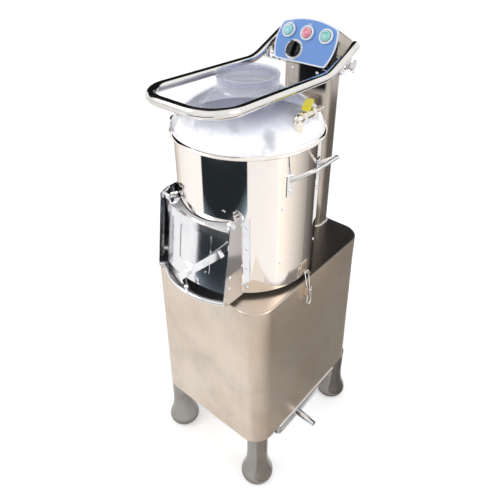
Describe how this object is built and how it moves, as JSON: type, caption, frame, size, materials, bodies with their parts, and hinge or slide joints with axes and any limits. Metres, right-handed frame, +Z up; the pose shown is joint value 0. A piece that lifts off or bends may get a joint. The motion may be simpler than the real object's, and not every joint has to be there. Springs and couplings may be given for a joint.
{
  "type": "electric potato peeler",
  "caption": "Drum potato peeler on a cabinet with four ball feet, clear domed lid, front hatch with lever, rear control column and a hinged tubular safety rail.",
  "frame": {"origin": "on the floor, midway between the four feet", "axes": "+X right along the front, +Y to the back, +Z up"},
  "size_m": [0.4366, 0.5082, 1.1459],
  "materials": {
    "brushed_steel": "fine vertical brushing, satin",
    "polished_steel": "mirror polished stainless steel",
    "foot_steel": "satin spun steel",
    "cast_aluminium": "polished sand casting",
    "cast_iron": "dark machined casting",
    "motor_paint": "satin blue-grey enamel",
    "bearing_steel": "ground steel",
    "abrasive": "coarse carborundum grit in resin",
    "clear_cover": "clear polycarbonate with a blue tint",
    "black_rubber": "matt black rubber",
    "grey_plastic": "moulded grey plastic",
    "black_plastic": "gloss black moulding",
    "dial_white": "white dial ring",
    "fascia_blue": "smooth blue panel",
    "green_button": "green cap",
    "cyan_button": "blue-green cap",
    "red_button": "red cap",
    "brass": "plated brass",
    "yellow_grip": "yellow plastic sleeve"
  },
  "bodies": {
    "base": {"abrasive_liner": "abrasive", "base_frame": "brushed_steel", "bearing_housing": "cast_iron", "button_bodies": "black_plastic", "cabinet_shell": "brushed_steel", "cable_gland": "black_plastic", "chute_lip": "polished_steel", "chute_plate_left": "polished_steel", "chute_plate_right": "polished_steel", "column": "brushed_steel", "contactor": "black_plastic", "door_hinge_bolts": "polished_steel", "drain_pipe": "grey_plastic", "drain_tray": "polished_steel", "drive_belt": "black_rubber", "drum_seal": "black_rubber", "drum_shell": "polished_steel", "fascia_plate": "fascia_blue", "foot_front_left": "foot_steel", "foot_front_right": "foot_steel", "foot_rear_left": "foot_steel", "foot_rear_right": "foot_steel", "handle_left": "polished_steel", "handle_right": "polished_steel", "head_housing": "brushed_steel", "latch_bases": "brushed_steel", "latch_keepers": "brushed_steel", "liner_screws": "polished_steel", "motor_body": "motor_paint", "motor_bracket": "brushed_steel", "rail_bracket_left": "polished_steel", "rail_bracket_right": "polished_steel", "rail_pivot_bolts": "polished_steel", "rear_cover": "brushed_steel", "rear_cover_screws": "polished_steel", "shaft_bearings": "bearing_steel", "timer_body": "black_plastic", "timer_dial_ring": "dial_white"},
    "door": {"hatch_door": "cast_aluminium", "lever_bolt": "polished_steel"},
    "door_lever": {"door_lever": "polished_steel"},
    "rail": {"safety_rail": "polished_steel"},
    "lid": {"lid_dome": "clear_cover", "valve_body": "brass", "hose_barb": "brass"},
    "feed_cap": {"feed_cap": "clear_cover"},
    "valve_handle": {"valve_handle": "yellow_grip"},
    "latch_lever_right": {"latch_lever_right": "polished_steel"},
    "latch_lever_left": {"latch_lever_left": "polished_steel"},
    "latch_bail_right": {"latch_bail_right": "polished_steel"},
    "latch_bail_left": {"latch_bail_left": "polished_steel"},
    "timer_knob": {"timer_knob": "black_plastic"},
    "button_left": {"button_cap_left": "cyan_button"},
    "button_middle": {"button_cap_middle": "red_button"},
    "button_right": {"button_cap_right": "green_button"},
    "disc": {"peeling_disc": "abrasive", "main_shaft": "polished_steel", "disc_nut": "polished_steel", "large_pulley": "cast_aluminium"},
    "motor_rotor": {"motor_pulley": "cast_iron"}
  },
  "joints": [
    {"name": "safety_rail_hinge", "type": "hinge", "parent": "base", "child": "rail", "pos_m": [0, 0.165, 1.062], "axis": [-1, 0, 0], "range_deg": [0, 80]},
    {"name": "lid_lift", "type": "slide", "parent": "base", "child": "lid", "axis": [0, 0, 1], "range_m": [0, 0.008]},
    {"name": "feed_cap_lift", "type": "slide", "parent": "lid", "child": "feed_cap", "axis": [0, 0, 1], "range_m": [0, 0.05]},
    {"name": "valve_turn", "type": "hinge", "parent": "lid", "child": "valve_handle", "pos_m": [0.1435, -0.046, 1.02], "axis": [0, 0, -1], "range_deg": [0, 90]},
    {"name": "door_hinge", "type": "hinge", "parent": "base", "child": "door", "pos_m": [0, -0.208, 0.82], "axis": [-1, 0, 0], "range_deg": [0, 70]},
    {"name": "door_lever_turn", "type": "hinge", "parent": "door", "child": "door_lever", "pos_m": [-0.004, -0.25107, 0.6806], "axis": [0, 0.9905, -0.1374], "range_deg": [0, 44]},
    {"name": "timer_turn", "type": "hinge", "parent": "base", "child": "timer_knob", "pos_m": [-0.0225, 0.13556, 1.08135], "axis": [0, 0.8838, -0.4679], "range_deg": [0, 300]},
    {"name": "disc_spin", "type": "hinge", "parent": "base", "child": "disc", "pos_m": [0, -0.054, 0.6], "axis": [0, 0, 1], "continuous": true},
    {"name": "motor_spin", "type": "hinge", "parent": "base", "child": "motor_rotor", "pos_m": [0, 0.12, 0.54], "axis": [0, 0, 1], "continuous": true},
    {"name": "latch_right_lever", "type": "hinge", "parent": "base", "child": "latch_lever_right", "pos_m": [0.179, -0.045, 0.597], "axis": [0, -1, 0], "range_deg": [0, 100]},
    {"name": "latch_right_bail", "type": "hinge", "parent": "latch_lever_right", "child": "latch_bail_right", "pos_m": [0.179, -0.045, 0.589], "axis": [0, -1, 0], "range_deg": [-100, 0]},
    {"name": "latch_left_lever", "type": "hinge", "parent": "base", "child": "latch_lever_left", "pos_m": [-0.179, -0.045, 0.597], "axis": [0, 1, 0], "range_deg": [0, 100]},
    {"name": "latch_left_bail", "type": "hinge", "parent": "latch_lever_left", "child": "latch_bail_left", "pos_m": [-0.179, -0.045, 0.589], "axis": [0, 1, 0], "range_deg": [-100, 0]},
    {"name": "button_left_press", "type": "slide", "parent": "base", "child": "button_left", "axis": [0, 0.8838, -0.4679], "range_m": [0, 0.004], "stiffness_N_per_m": 500},
    {"name": "button_middle_press", "type": "slide", "parent": "base", "child": "button_middle", "axis": [0, 0.8838, -0.4679], "range_m": [0, 0.004], "stiffness_N_per_m": 500},
    {"name": "button_right_press", "type": "slide", "parent": "base", "child": "button_right", "axis": [0, 0.8838, -0.4679], "range_m": [0, 0.004], "stiffness_N_per_m": 500}
  ],
  "couplings": [
    {"joint": "motor_spin", "follows": "disc_spin", "ratio": 3},
    {"joint": "latch_right_bail", "follows": "latch_right_lever", "ratio": -1},
    {"joint": "latch_left_bail", "follows": "latch_left_lever", "ratio": -1}
  ]
}
